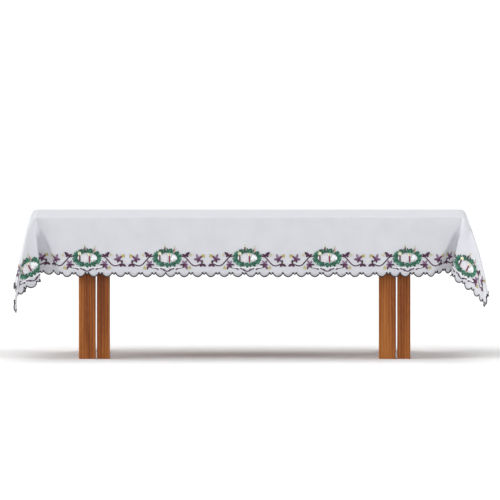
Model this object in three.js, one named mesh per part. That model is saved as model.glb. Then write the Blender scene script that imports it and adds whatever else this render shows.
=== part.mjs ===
// A scalloped, embroidered altar cloth that hangs over all four sides of a wooden altar table.
// Millimetres. +X runs along the table, -Y is the front, +Z is up.
// The origin is on the floor, under the middle of the table.
import * as THREE from "three";

// The table, read from its width in the picture and the usual cut of the cloth
const TABLE = { length: 2206, depth: 1040, height: 730, board: 30, edgeRound: 8 };
const JOINT_GAP = 0.3;

// The cloth: its flat cut, its thickness and how it turns over the table's edge
const CLOTH = { length: 3000, width: 1650, thick: 2, clear: 2, turn: 8 };
const MID_Z = TABLE.height + JOINT_GAP + CLOTH.thick / 2;
const HALF_X = TABLE.length / 2 + CLOTH.clear + CLOTH.thick / 2 - CLOTH.turn;
const HALF_Y = TABLE.depth / 2 + CLOTH.clear + CLOTH.thick / 2 - CLOTH.turn;

// The cut hem: runs of round scallops with a small bead between two of them. A roundness under 1
// fills an arc's shoulders.
const SCALLOP = { width: 52.7, depth: 18, segments: 4, roundness: 0.8 };
const BEAD = { width: 16.1, depth: 3, segments: 2 };
const LONG_RUNS = [7, 9, 9, 9, 9, 2];
const SHORT_RUNS = [4, 9, 9, 3];

// Slow waves of the hanging sides: wave length along the side, start and height at the hem
const WAVES = [
  { length: 610, start: 0.4, height: 4.5 },
  { length: 260, start: 1.9, height: 1.6 },
];
// The waves begin this far under the table's edge, and lie still from near to wide degrees
// beside a folded corner
const WAVE_START = 20;
const STILL = { near: 6, wide: 40 };

// The folded corners. Each row is a line from the table's corner to the hem: at is its angle in
// the flat cloth, from the long side's plumb line to the end's. out and front are its lean in
// degrees, away from the end and away from the long side, close under the corner (Top) and
// lower down, where the folds are full (Low).
const FAN_COLUMNS = ["at", "outTop", "frontTop", "outLow", "frontLow"];
const FRONT_RIGHT_FAN = [
  [-36, -36, 0, -36, 0],
  [-28.5, -28.5, 0, -28.5, 0],
  [-15, -16, 1, -21.8, -9],
  [-2, -8, 1, -13.5, -13],
  [5, -4, 3, -10.6, -12],
  [11.6, -1, 7, -11.6, -8],
  [24, 6, 12, -3.4, -2],
  [34, 10, 15, 3.6, 5],
  [42.6, 13, 17, 9.2, 12],
  [49.2, 15, 18, 11.4, 20],
  [52.7, 16, 18, 12.4, 26],
  [60, 16, 16, 14.8, 29],
  [68, 16, 13, 14.8, 21],
  [80, 15, 7, 12.9, 8.5],
  [90, 13, 1, 11, 0],
  [100, 10, -8, 9.4, -9],
  [110, 7.7, -20.1, 7.7, -20.1],
  [118, 7.3, -28.1, 7.3, -28.1],
];
const FRONT_LEFT_FAN = [
  [-36, -36, 0, -36, 0],
  [-26, -26, 0, -26, 0],
  [-13, -14, 1, -18.1, -8],
  [-1.2, -5, 4, -6.4, -12],
  [5, -1, 6, 0, -12],
  [12, 2, 8, 1.5, -5],
  [22, 6, 11, -4.9, 3],
  [31.4, 10, 13, 3.8, 6],
  [36, 12, 14, 7.5, 8],
  [43.1, 14, 15, 11.5, 11],
  [49.2, 16, 15, 12.5, 16],
  [52.7, 17, 14, 10.9, 13],
  [60, 16, 11, 11.6, 7],
  [70, 15, 7, 11.8, -2],
  [80, 14, 2, 10.4, -9],
  [90, 12.5, -4, 8, -13],
  [100, 10.5, -11, 7, -15.5],
  [108, 9, -18, 7, -20],
  [118, 7.3, -28.1, 7.3, -28.1],
  [126, 6.9, -36.1, 6.9, -36.1],
];
const BACK_FAN = [
  [-36, -36, 0, -36, 0],
  [-24, -24, 0, -24, 0],
  [-10, -12, 2, -18, -10],
  [4, -2, 6, -7, -15],
  [18, 5, 11, -1, -4],
  [30, 10, 14, 5, 7],
  [42, 12, 16, 9.5, 17],
  [52.7, 13, 17, 12.5, 26],
  [62, 13, 14, 14.5, 21],
  [74, 14, 9, 14.5, 10],
  [86, 12, 3, 11, 0],
  [98, 10, -7, 7, -8],
  [108, 8, -18, 6, -17],
  [116, 7.4, -26.1, 7.4, -26.1],
  [124, 7, -34.1, 7, -34.1],
];
// How the folds begin, how far the corner swells and how much bias-cut cloth stretches
const FAN = { foldStart: 34, foldFull: 130, swell: 0.15, swellReach: 500, stretch: 0.03 };
// The loose cloth bulges out under a corner: how far out, and how far down the bulge goes
const BULGE_LEFT = { out: 24, depth: 240 };
const BULGE_RIGHT = { out: 12, depth: 400 };
const BULGE_START = 15;
// The angles over which a fan turns into its loose ear, and back into the hanging end
const EAR_BEGINS = [-10, 30];
const EAR_ENDS = [70, 110];
// Hem pieces this near a table corner, along and across, are split to keep its folds round
const SPLIT_NEAR = { along: 190, across: 200 };

// The corners push the hanging ends outwards by this lean, in degrees
const END_LEAN = 8;

// The legs: pairs of a wide and a narrow square post, side by side, at both ends, front and back
const POSTS = [
  { name: "left_wide", from: -879, to: -792, deep: 87 },
  { name: "left_narrow", from: -785, to: -719, deep: 67 },
  { name: "right_wide", from: 666, to: 753, deep: 87 },
  { name: "right_narrow", from: 761, to: 828, deep: 67 },
];
const POST_INSET = 40;
// The rear pairs stand this much further out, so light shows between the posts from far in front
const REAR_SPREAD = 8;
const RAIL = { height: 90, thick: 24, inset: 24 };

const LINEN = new THREE.MeshStandardMaterial({ color: "#dcdfe4", roughness: 0.85, metalness: 0 });
const STAINED_WOOD = new THREE.MeshStandardMaterial({
  color: "#8a5230",
  roughness: 0.5,
  metalness: 0,
});

function smoothStep(x, from, to) {
  const t = Math.min(Math.max((x - from) / (to - from), 0), 1);
  return t * t * (3 - 2 * t);
}

// The outward travel and the fall of a strip that turns over an edge and then hangs
function turnOut(w) {
  return w < (Math.PI / 2) * CLOTH.turn ? CLOTH.turn * Math.sin(w / CLOTH.turn) : CLOTH.turn;
}

function turnDown(w) {
  const quarter = (Math.PI / 2) * CLOTH.turn;
  return w < quarter ? CLOTH.turn * (1 - Math.cos(w / CLOTH.turn)) : w - quarter + CLOTH.turn;
}

// Smooth curve through one column of a fan's rows, at an angle
function fanValue(rows, column, angle) {
  const last = rows.length - 1;
  if (angle <= rows[0][0]) return rows[0][column];
  if (angle >= rows[last][0]) return rows[last][column];
  let i = 0;
  while (rows[i + 1][0] < angle) i += 1;
  const before = rows[Math.max(i - 1, 0)];
  const after = rows[Math.min(i + 2, last)];
  const [a, b] = [rows[i], rows[i + 1]];
  const span = b[0] - a[0];
  const t = (angle - a[0]) / span;
  const slopeA = (b[column] - before[column]) / (b[0] - before[0]);
  const slopeB = (after[column] - a[column]) / (after[0] - a[0]);
  return (
    (2 * t ** 3 - 3 * t ** 2 + 1) * a[column] +
    (t ** 3 - 2 * t ** 2 + t) * span * slopeA +
    (3 * t ** 2 - 2 * t ** 3) * b[column] +
    (t ** 3 - t ** 2) * span * slopeB
  );
}

// The lean of a fan's line, out and front, in degrees, at a distance from the corner
function leanOf(rows, angle, reach) {
  const full = smoothStep(reach, FAN.foldStart, FAN.foldFull);
  const read = (name) => fanValue(rows, FAN_COLUMNS.indexOf(name), angle);
  return [
    THREE.MathUtils.lerp(read("outTop"), read("outLow"), full),
    THREE.MathUtils.lerp(read("frontTop"), read("frontLow"), full),
  ];
}

function fanOf(u, v) {
  if (v > 0) return BACK_FAN;
  return u > 0 ? FRONT_RIGHT_FAN : FRONT_LEFT_FAN;
}

// The angle of a point of the flat cloth about the table's nearest corner, in degrees
function angleAt(u, v) {
  const [p, q] = [Math.abs(u) - HALF_X, Math.abs(v) - HALF_Y];
  return THREE.MathUtils.radToDeg(Math.atan2(p, q));
}

// How far a hanging side stands out from its plumb plane, at a place along it
function waveAt(along, fall, hang) {
  const sum = WAVES.reduce(
    (total, w) => total + w.height * Math.sin((2 * Math.PI * along) / w.length + w.start),
    0,
  );
  return (sum + WAVES[0].height) * smoothStep(fall, WAVE_START, hang);
}

// How far a loose ear stands out from the table's corner, at a distance from it
function swellAt(reach, bulge) {
  const broad = FAN.swell * reach * Math.max(0, 1 - reach / FAN.swellReach);
  const start = 1 - Math.exp(-reach / BULGE_START);
  return broad + bulge.out * start * Math.max(0, 1 - reach / bulge.depth);
}

// The place in space of a point of the flat cloth
function drape(u, v) {
  const [sideX, sideY] = [u < 0 ? -1 : 1, v < 0 ? -1 : 1];
  const [p, q] = [Math.abs(u) - HALF_X, Math.abs(v) - HALF_Y];
  if (p <= 0 && q <= 0) return new THREE.Vector3(u, v, MID_Z);
  const fan = fanOf(u, v);
  const reach = Math.hypot(p, q);
  const angle = angleAt(u, v);
  const [first, last] = [fan[1][0], fan[fan.length - 2][0]];
  if (angle <= first) {
    const loose = 1 - smoothStep(angle, first - STILL.wide, first - STILL.near);
    const wave = waveAt(u, q, CLOTH.width / 2 - HALF_Y) * loose;
    return new THREE.Vector3(u, sideY * (HALF_Y + turnOut(q) + wave), MID_Z - turnDown(q));
  }
  if (angle >= last) {
    const loose = smoothStep(angle, last + STILL.near, last + STILL.wide);
    const wave = waveAt(v, p, CLOTH.length / 2 - HALF_X) * loose;
    const endLean = THREE.MathUtils.degToRad(END_LEAN);
    const drop = p * Math.cos(endLean);
    const x = HALF_X + turnOut(drop) + p * Math.sin(endLean) + wave;
    return new THREE.Vector3(sideX * x, v, MID_Z - turnDown(drop));
  }
  const [out, front] = leanOf(fan, angle, reach);
  const lean = THREE.MathUtils.degToRad(Math.hypot(out, front));
  const heading = Math.hypot(out, front) || 1;
  const inEar = smoothStep(angle, ...EAR_BEGINS) * (1 - smoothStep(angle, ...EAR_ENDS));
  const length = reach * (1 + FAN.stretch * inEar);
  const swell = inEar * swellAt(reach, u < 0 ? BULGE_LEFT : BULGE_RIGHT);
  const round = THREE.MathUtils.degToRad(90 * smoothStep(angle, 0, 90));
  const fall = length * Math.cos(lean);
  const spread = (length * Math.sin(lean)) / heading;
  const edge = turnOut(fall);
  const x = HALF_X + (angle < 0 ? 0 : edge + swell) * Math.sin(round) + spread * out;
  const y = HALF_Y + (angle > 90 ? 0 : edge + swell) * Math.cos(round) + spread * front;
  return new THREE.Vector3(sideX * x, sideY * y, MID_Z - turnDown(fall));
}

// One side's hem as pieces of its outline: each piece is a list of [along, cut back from the edge]
function sideHem(runs, sideLength) {
  const scallops = runs.reduce((a, b) => a + b, 0);
  const beads = scallops - runs.length;
  const fit = sideLength / (scallops * SCALLOP.width + beads * BEAD.width);
  const pieces = [];
  let at = -sideLength / 2;
  const arc = ({ width, depth, segments }) => {
    const points = [];
    for (let i = 0; i <= segments; i += 1) {
      const t = i / segments;
      const bow = Math.sin(Math.PI * t) ** SCALLOP.roundness;
      points.push([at + width * fit * t, SCALLOP.depth - depth * bow]);
    }
    pieces.push(points);
    at += width * fit;
  };
  runs.forEach((count) => {
    for (let i = 0; i < count; i += 1) {
      arc(SCALLOP);
      if (i < count - 1) arc(BEAD);
    }
  });
  return pieces;
}

// The whole hem, counter-clockwise in the flat cloth, as pieces of [u, v] points
function wholeHem() {
  const [hx, hy] = [CLOTH.length / 2, CLOTH.width / 2];
  const long = sideHem(LONG_RUNS, CLOTH.length);
  const short = sideHem(SHORT_RUNS, CLOTH.width);
  const corner = (along, half, cut) => {
    const near = smoothStep(Math.abs(along), half - SCALLOP.width, half);
    return along - Math.sign(along) * cut * near;
  };
  return [
    ...long.map((piece) => piece.map(([s, cut]) => [corner(s, hx, cut), -(hy - cut)])),
    ...short.map((piece) => piece.map(([s, cut]) => [hx - cut, corner(s, hy, cut)])),
    ...long.map((piece) => piece.map(([s, cut]) => [-corner(s, hx, cut), hy - cut])),
    ...short.map((piece) => piece.map(([s, cut]) => [-(hx - cut), -corner(s, hy, cut)])),
  ];
}

// Scallops under a folded corner are split, so that the folds stay round
function splitUnderCorners(pieces) {
  return pieces.flatMap((piece) => {
    const middle = Math.floor(piece.length / 2);
    const [u, v] = piece[middle].map(Math.abs);
    const isScallop = piece.length > SCALLOP.segments;
    if (u < HALF_X - SPLIT_NEAR.along || v < HALF_Y - SPLIT_NEAR.across || !isScallop) return [piece];
    return [piece.slice(0, middle + 1), piece.slice(middle)];
  });
}

// Where a line down to the hem starts: at the corner under a fan, straight above elsewhere
function rootOf(u, v) {
  const angle = angleAt(u, v);
  const fan = fanOf(u, v);
  if (angle > fan[1][0] && angle < fan[fan.length - 2][0]) {
    return [Math.sign(u) * HALF_X, Math.sign(v) * HALF_Y];
  }
  return [THREE.MathUtils.clamp(u, -HALF_X, HALF_X), THREE.MathUtils.clamp(v, -HALF_Y, HALF_Y)];
}

// The cloth's middle surface: a flat top, and columns from the table's edge down to the hem
const TURN_ROWS = [0.5, 1];
const BELOW_BOARD = 40;
const FALL_ROWS = 3;
const HEM_MARGIN = 14;

function middleSurface() {
  const places = [];
  const found = new Map();
  const faces = [];
  const pointAt = (u, v) => {
    const key = `${u.toFixed(3)},${v.toFixed(3)}`;
    if (!found.has(key)) {
      found.set(key, places.length);
      places.push(drape(u, v));
    }
    return found.get(key);
  };
  const face = (a, b, c) => {
    if (a !== b && b !== c && c !== a) faces.push(a, b, c);
  };
  const column = ([u, v]) => {
    const root = rootOf(u, v);
    const length = Math.hypot(u - root[0], v - root[1]);
    const quarter = (Math.PI / 2) * CLOTH.turn;
    const stops = [0, ...TURN_ROWS.map((t) => t * quarter), BELOW_BOARD];
    for (let i = 1; i <= FALL_ROWS; i += 1) {
      stops.push(BELOW_BOARD + ((length - HEM_MARGIN - BELOW_BOARD) * i) / FALL_ROWS);
    }
    return stops.map((d) =>
      pointAt(root[0] + ((u - root[0]) * d) / length, root[1] + ((v - root[1]) * d) / length),
    );
  };
  const roots = [];
  const rim = [];
  splitUnderCorners(wholeHem()).forEach((piece) => {
    const [left, right] = [column(piece[0]), column(piece[piece.length - 1])];
    for (let i = 0; i + 1 < left.length; i += 1) {
      face(left[i], left[i + 1], right[i]);
      face(right[i], left[i + 1], right[i + 1]);
    }
    const edge = piece.map(([u, v]) => pointAt(u, v));
    const half = Math.floor(edge.length / 2);
    const [lowLeft, lowRight] = [left[left.length - 1], right[right.length - 1]];
    for (let i = 0; i + 1 < edge.length; i += 1) {
      face(i < half ? lowLeft : lowRight, edge[i], edge[i + 1]);
    }
    face(lowLeft, edge[half], lowRight);
    if (roots[roots.length - 1] !== left[0]) roots.push(left[0]);
    rim.push(...edge.slice(0, -1));
  });
  const outline = roots.map((i) => new THREE.Vector2(places[i].x, places[i].y));
  THREE.ShapeUtils.triangulateShape(outline, []).forEach(([a, b, c]) => {
    face(roots[a], roots[b], roots[c]);
  });
  return { places, faces, rim };
}

// A closed sheet: the middle surface set off by half the thickness to each side, and its rim
function clothGeometry() {
  const { places, faces, rim } = middleSurface();
  const middle = new THREE.BufferGeometry().setFromPoints(places);
  middle.setIndex(faces);
  middle.computeVertexNormals();
  const normals = middle.getAttribute("normal");
  const shifted = (side) =>
    places.map((point, i) =>
      point
        .clone()
        .addScaledVector(
          new THREE.Vector3().fromBufferAttribute(normals, i),
          (side * CLOTH.thick) / 2,
        ),
    );
  const count = places.length;
  const index = [...faces];
  for (let i = 0; i < faces.length; i += 3) {
    index.push(faces[i] + count, faces[i + 2] + count, faces[i + 1] + count);
  }
  rim.forEach((a, i) => {
    const b = rim[(i + 1) % rim.length];
    index.push(a, a + count, b, b, a + count, b + count);
  });
  const sheet = new THREE.BufferGeometry().setFromPoints([...shifted(1), ...shifted(-1)]);
  sheet.setIndex(index);
  sheet.computeVertexNormals();
  return sheet;
}

function cloth() {
  const mesh = new THREE.Mesh(clothGeometry(), LINEN);
  mesh.name = "altar_cloth";
  return mesh;
}

// The table's board, with rounded edges
function tableBoard() {
  const { length, depth, board, edgeRound, height } = TABLE;
  const [x, y] = [length / 2 - edgeRound, depth / 2 - edgeRound];
  const outline = new THREE.Shape([
    new THREE.Vector2(-x, -y),
    new THREE.Vector2(x, -y),
    new THREE.Vector2(x, y),
    new THREE.Vector2(-x, y),
  ]);
  const geometry = new THREE.ExtrudeGeometry(outline, {
    depth: board - 2 * edgeRound,
    bevelEnabled: true,
    bevelThickness: edgeRound,
    bevelSize: edgeRound,
    bevelSegments: 4,
  });
  const mesh = new THREE.Mesh(geometry, STAINED_WOOD);
  mesh.name = "table_top";
  mesh.position.z = height - board + edgeRound;
  return mesh;
}

// A straight piece of timber between two corners
function timber(name, low, high) {
  const size = high.clone().sub(low);
  const mesh = new THREE.Mesh(new THREE.BoxGeometry(size.x, size.y, size.z), STAINED_WOOD);
  mesh.name = name;
  mesh.position.copy(low).add(high).multiplyScalar(0.5);
  return mesh;
}

const POST_TOP = TABLE.height - TABLE.board - JOINT_GAP;
const POST_FACE = TABLE.depth / 2 - POST_INSET;

// The eight posts: each pair stands at the front and again at the back
function posts() {
  return POSTS.flatMap(({ name, from, to, deep }) => {
    const spread = Math.sign(from) * REAR_SPREAD;
    return [
      timber(
        `post_front_${name}`,
        new THREE.Vector3(from, -POST_FACE, 0),
        new THREE.Vector3(to, -POST_FACE + deep, POST_TOP),
      ),
      timber(
        `post_back_${name}`,
        new THREE.Vector3(from + spread, POST_FACE - deep, 0),
        new THREE.Vector3(to + spread, POST_FACE, POST_TOP),
      ),
    ];
  });
}

// Short rails that join each front post to the one behind it
function crossRails() {
  return POSTS.map(({ name, from, to, deep }) => {
    const middle = (from + to) / 2;
    const reach = POST_FACE - deep - JOINT_GAP;
    return timber(
      `rail_across_${name}`,
      new THREE.Vector3(middle - RAIL.thick / 2, -reach, POST_TOP - RAIL.height),
      new THREE.Vector3(middle + RAIL.thick / 2, reach, POST_TOP),
    );
  });
}

// Long rails between the two pairs of legs, under the front and back of the board
function longRails() {
  const [from, to] = [POSTS[1].to + JOINT_GAP, POSTS[2].from - JOINT_GAP];
  const outer = POST_FACE - RAIL.inset;
  return [
    ["rail_front", -outer, 0],
    ["rail_back", outer - RAIL.thick, REAR_SPREAD],
  ].map(([name, y, spread]) =>
    timber(
      name,
      new THREE.Vector3(from - spread, y, POST_TOP - RAIL.height),
      new THREE.Vector3(to + spread, y + RAIL.thick, POST_TOP),
    ),
  );
}

const altar = new THREE.Group();
altar.add(cloth(), tableBoard(), ...posts(), ...crossRails(), ...longRails());
altar.updateMatrixWorld(true);

// The origin is set under the middle of the whole outline
const box = new THREE.Box3().setFromObject(altar);
const middle = box.getCenter(new THREE.Vector3());
altar.children.forEach((mesh) => {
  mesh.position.x -= middle.x;
  mesh.position.y -= middle.y;
});

export default altar;
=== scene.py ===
import math
import random

import bmesh
import bpy
from mathutils import Matrix, Vector


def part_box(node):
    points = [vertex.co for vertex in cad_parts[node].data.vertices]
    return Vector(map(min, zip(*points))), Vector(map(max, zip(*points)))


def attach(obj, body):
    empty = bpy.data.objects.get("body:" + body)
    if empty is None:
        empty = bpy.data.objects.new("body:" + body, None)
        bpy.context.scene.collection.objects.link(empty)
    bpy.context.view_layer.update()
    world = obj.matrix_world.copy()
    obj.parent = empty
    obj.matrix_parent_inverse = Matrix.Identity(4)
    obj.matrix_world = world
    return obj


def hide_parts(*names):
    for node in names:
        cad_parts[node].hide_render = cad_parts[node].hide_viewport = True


bl_info = {
    "name": "Altar table with embroidered cloth",
    "version": (1, 0, 0),
    "blender": (4, 5, 0),
    "location": "View3D > Sidebar > Altar",
    "description": "Dresses a wooden altar table in a linen cloth with a scalloped, embroidered border",
    "category": "Add Mesh",
}

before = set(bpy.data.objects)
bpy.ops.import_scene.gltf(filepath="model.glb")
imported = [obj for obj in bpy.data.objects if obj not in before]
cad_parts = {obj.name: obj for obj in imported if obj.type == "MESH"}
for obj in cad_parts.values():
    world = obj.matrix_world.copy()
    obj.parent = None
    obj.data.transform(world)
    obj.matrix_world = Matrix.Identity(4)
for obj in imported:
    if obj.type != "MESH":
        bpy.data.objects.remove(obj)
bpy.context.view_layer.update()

MM = 0.001
TABLE_LOW, TABLE_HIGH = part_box("table_top")
TABLE_MIDDLE = (TABLE_LOW + TABLE_HIGH) / 2

# The drape works in millimetres from the middle of the table. The cloth turns over the board's
# edges in an arc of this radius, clear of the board's sides and just over its top, and its surface
# runs through the middle of the solid cloth's thickness.
TURN = 8.0
CLEAR = 2.0
BOARD_GAP = 0.3
HALF_SOLID = 1.0
HALF_X = (TABLE_HIGH.x - TABLE_LOW.x) / MM / 2 + CLEAR + HALF_SOLID - TURN
HALF_Y = (TABLE_HIGH.y - TABLE_LOW.y) / MM / 2 + CLEAR + HALF_SOLID - TURN
MIDDLE_Z = TABLE_HIGH.z / MM + BOARD_GAP + HALF_SOLID
QUARTER = math.pi / 2 * TURN
CUT_LENGTH = 3000.0
CUT_WIDTH = 1650.0

# The hanging ends lean out by this angle. The sides wave: the length of each wave, its phase in
# radians and its height. The waves begin this far below the edge, and die out next to a folded
# corner between these two angles from it.
END_LEAN = 8.0
WAVES = ((610.0, 0.4, 4.5), (260.0, 1.9, 1.6))
WAVE_START = 20.0
STILL_NEAR = 6
STILL_WIDE = 40

# The hem: runs of round scallops, with a small bead between two of a run.
SCALLOP = 52.7
BEAD = 16.1
SCALLOP_DEPTH = 19.0
BEAD_DEPTH = 7.0
ROUNDNESS = 0.8
SCALLOP_STEPS = 7
BEAD_STEPS = 3
LONG_RUNS = (7, 9, 9, 9, 9, 2)
SHORT_RUNS = (4, 9, 9, 3)
# The flat cloth's outermost inner row of points lies this far inside the hem's notches. The grid
# that it is made from reaches to 1 each way, and a point further out than this is on its rim.
HEM_MARGIN = 6
ON_RIM = 0.9999

# The folded corners: the angle of each line in the flat cloth, from the long side's plumb line to
# the end's, and its lean out and to the front in degrees, first close to the corner, then below.
OUT_TOP, FRONT_TOP, OUT_LOW, FRONT_LOW = 1, 2, 3, 4
FRONT_RIGHT_FAN = (
    (-36, -36, 0, -36, 0), (-28.5, -28.5, 0, -28.5, 0), (-15, -16, 1, -21.8, -9),
    (-2, -8, 1, -13.5, -13), (5, -4, 3, -10.6, -12), (11.6, -1, 7, -11.6, -8),
    (24, 6, 12, -3.4, -2), (34, 10, 15, 3.6, 5), (42.6, 13, 17, 9.2, 12),
    (49.2, 15, 18, 11.4, 20), (52.7, 16, 18, 12.4, 26), (60, 16, 16, 14.8, 29),
    (68, 16, 13, 14.8, 21), (80, 15, 7, 12.9, 8.5), (90, 13, 1, 11, 0),
    (100, 10, -8, 9.4, -9), (110, 7.7, -20.1, 7.7, -20.1), (118, 7.3, -28.1, 7.3, -28.1),
)
FRONT_LEFT_FAN = (
    (-36, -36, 0, -36, 0), (-26, -26, 0, -26, 0), (-13, -14, 1, -18.1, -8),
    (-1.2, -5, 4, -6.4, -12), (5, -1, 6, 0, -12), (12, 2, 8, 1.5, -5),
    (22, 6, 11, -4.9, 3), (31.4, 10, 13, 3.8, 6), (36, 12, 14, 7.5, 8),
    (43.1, 14, 15, 11.5, 11), (49.2, 16, 15, 12.5, 16), (52.7, 17, 14, 10.9, 13),
    (60, 16, 11, 11.6, 7), (70, 15, 7, 11.8, -2), (80, 14, 2, 10.4, -9),
    (90, 12.5, -4, 8, -13), (100, 10.5, -11, 7, -15.5), (108, 9, -18, 7, -20),
    (118, 7.3, -28.1, 7.3, -28.1), (126, 6.9, -36.1, 6.9, -36.1),
)
BACK_FAN = (
    (-36, -36, 0, -36, 0), (-24, -24, 0, -24, 0), (-10, -12, 2, -18, -10),
    (4, -2, 6, -7, -15), (18, 5, 11, -1, -4), (30, 10, 14, 5, 7),
    (42, 12, 16, 9.5, 17), (52.7, 13, 17, 12.5, 26), (62, 13, 14, 14.5, 21),
    (74, 14, 9, 14.5, 10), (86, 12, 3, 11, 0), (98, 10, -7, 7, -8),
    (108, 8, -18, 6, -17), (116, 7.4, -26.1, 7.4, -26.1), (124, 7, -34.1, 7, -34.1),
)
# The lean changes from the first to the second between these reaches from the corner
FOLD_START = 34.0
FOLD_FULL = 130.0
# An ear sets in between the first two angles and ends between the last two. In it the cloth lies
# further out, by this share of the reach and up to this reach, and a little longer on its bias.
EAR_BEGINS = (-10, 30)
EAR_ENDS = (70, 110)
SWELL = 0.15
SWELL_REACH = 500.0
STRETCH = 0.03
# The loose cloth bulges out under the corners of the left and the right end: how far, and how far
# down. The bulge sets in within about the last reach.
BULGE_LEFT = (24.0, 240.0)
BULGE_RIGHT = (12.0, 400.0)
BULGE_START = 15.0

# One repeat of the border, in millimetres from the middle of its wreath. The repeats stand this far
# apart and this far above the edge, and those of the long sides a little to the left.
REPEAT = 412.0
WREATH_SHIFT = -12.0
WREATH_UP = 97.0
# A wreath's outer oval and the hole in it, which lies slightly to the right
OUTER_RING = (75.0, 47.5)
INNER_RING = (50.0, 24.0)
INNER_SHIFT = 1.0
# Each row of leaves: their number, where they start and how far they reach, as shares of the band's
# width, and their own width. A leaf strays along the ring and leans to either side, in radians.
LEAF_ROWS = ((40, 0.10, 0.60, 9.5), (46, 0.55, 0.55, 8.0), (40, 0.30, 0.55, 8.5), (44, 0.00, 0.50, 7.5))
LEAF_STRAY = 0.08
LEAF_LEAN = (0.2, 1.0)
SHORTEST_LEAF = 15
ROW_LIFT = 0.2
GREENS = ("leaf", "dark_leaf", "leaf", "light_leaf", "dark_leaf", "leaf")
# Each candle: its thread, foot, top and width, and the length and width of its glow
CANDLES = (
    ("dark_maroon", (-11, 34), (-11, 57), 7, (11, 8)),
    ("pink", (36, 24), (39, 50), 7, (10, 7)),
    ("dark_maroon", (-37, -18), (-38, 16), 7, (20, 17)),
    ("maroon", (12, -24), (12, 12), 8, (17, 14)),
)
# From a candle's top: the wick's length and width, the flame's foot, tip and width, and how far down
# the glow begins
WICK = (6, 2.0)
FLAME = (3, 12, 4.5)
GLOW_DROP = 4
# Light patches inside the wreath: thread, start, end, width and lift over the usual padding
GLOWS = (
    ("pale", (-32, -1), (7, -1), 38, -1.2), ("white", (18, -4), (36, -6), 14, 0.1),
    ("white", (24, 6), (42, 9), 15, 0.1), ("white", (36, -2), (56, 0), 17, 0.1),
    ("white", (-54, 0), (-43, 2), 13, 0.1),
)
# Half a spray: its lines, its leaves with their width, its starry flowers with the heading, reach
# and width of each petal, and its small flowers with their reach and the headings of their petals.
MAIN_STEM = ((68, 10), (91, 4), (108, -13), (125, -32), (142, -41), (159, -38), (180, -29))
FLOWER_STEM = ((166, -6), (176, 4), (188, 14))
LOWER_STEM = ((88, -46), (77, -51), (60, -53), (50, -56), (45, -62))
LOWER_TAIL = ((98, -44), (104, -52), (100, -60))
SWAG = ((88, -44), (70, -49), (44, -50), (22, -49), (0, -53))
HEART = ((22, -58), (12, -66), (0, -69))
STEMS = ((MAIN_STEM, 6.5), (FLOWER_STEM, 4.5), (LOWER_STEM, 5.0), (LOWER_TAIL, 5.0), (HEART, 5.5))
SWAG_WIDTH = 4.0
LEAVES = (
    ("dark_purple", (90, 6), (116, 30), 17), ("dark_purple", (95, 10), (76, 19), 11),
    ("dark_purple", (98, 12), (110, 6), 11), ("dark_purple", (180, -30), (180, -10), 11),
    ("dark_purple", (177, -31), (201, -43), 14), ("dark_purple", (184, -33), (167, -45), 12),
    ("dark_purple", (6, -68), (26, -56), 8), ("dark_purple", (36, -51), (26, -60), 7),
    ("plum", (54, -52), (45, -62), 8),
)
STARS = (
    ((162, -8), (("mauve", 112, 30, 11), ("purple", 48, 25, 10), ("purple", 178, 24, 11),
                 ("purple", -38, 16, 9), ("dark_purple", -110, 17, 9))),
    ((90, -34), (("mauve", 62, 24, 10), ("mauve", 118, 22, 9), ("dark_purple", 184, 25, 8),
                 ("purple", -62, 23, 11), ("purple", -8, 17, 9), ("dark_purple", 240, 20, 8))),
)
YELLOW_FLOWERS = (((186, 10), 12, (50, 140, 230, 320)), ((115, -51), 11, (70, 160, 250, 340)),
                  ((123, 14), 9, (0, 120, 240)))
# A petal is a dark patch, wider by the first number, under a coloured one, narrower by the second,
# which starts a little out from the flower's eye. A small flower's petals have a share of its reach.
PETAL_RIM = 1.5
PETAL_INSET = 2.5
PETAL_START = 4
FLOWER_EYE = 6
SMALL_PETAL = 0.6
# The share of a patch's width in which its padding rises
PAD_SLOPE = 0.24
# The stitches start this far outside the linen's face
OFF_FACE = 0.1

# Each lamp, its tilt from straight down and its turn from the front, in degrees, and its spread. The
# floor is in metres.
LAMPS = (("key", 45, -45), ("left", 70, -80), ("right", 70, 80), ("front", 70, 0), ("back", 35, 180))
LAMP_SPREAD = 50
FLOOR_SIZE = 200.0
# The camera: its rise in degrees, then in metres its distance, the width that it shows, the height
# in the middle of its picture and the place that it looks at, from the table's middle. Its sensor's
# width is in millimetres.
VIEW_RISE = 2.35
VIEW_AWAY = 100.0
VIEW_WIDTH = 2.5815
VIEW_HEIGHT = 0.5415
VIEW_SIDE = 0.0026
VIEW_FRONT = -0.2
SENSOR = 36.0


def linear(hexa):
    """An sRGB hex colour as linear red, green, blue and alpha."""
    parts = [int(hexa[i:i + 2], 16) / 255 for i in (1, 3, 5)]
    return tuple(c / 12.92 if c < 0.04045 else ((c + 0.055) / 1.055) ** 2.4 for c in parts) + (1.0,)


def smooth_step(x, low, high):
    """A soft ramp from 0 at low to 1 at high."""
    t = min(max((x - low) / (high - low), 0.0), 1.0)
    return t * t * (3.0 - 2.0 * t)


def size_property(name, description, default):
    """A length that a user can change."""
    return bpy.props.FloatProperty(
        name=name, description=description, default=default, min=0.0, precision=4,
        subtype="DISTANCE", unit="LENGTH")


def colour_property(name, description, hexa):
    """A colour that a user can change."""
    return bpy.props.FloatVectorProperty(
        name=name, description=description, default=linear(hexa), size=4, min=0.0, max=1.0,
        subtype="COLOR")


def strength_property(name, description, default):
    """The strength of a light."""
    return bpy.props.FloatProperty(name=name, description=description, default=default, min=0.0)


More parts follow.
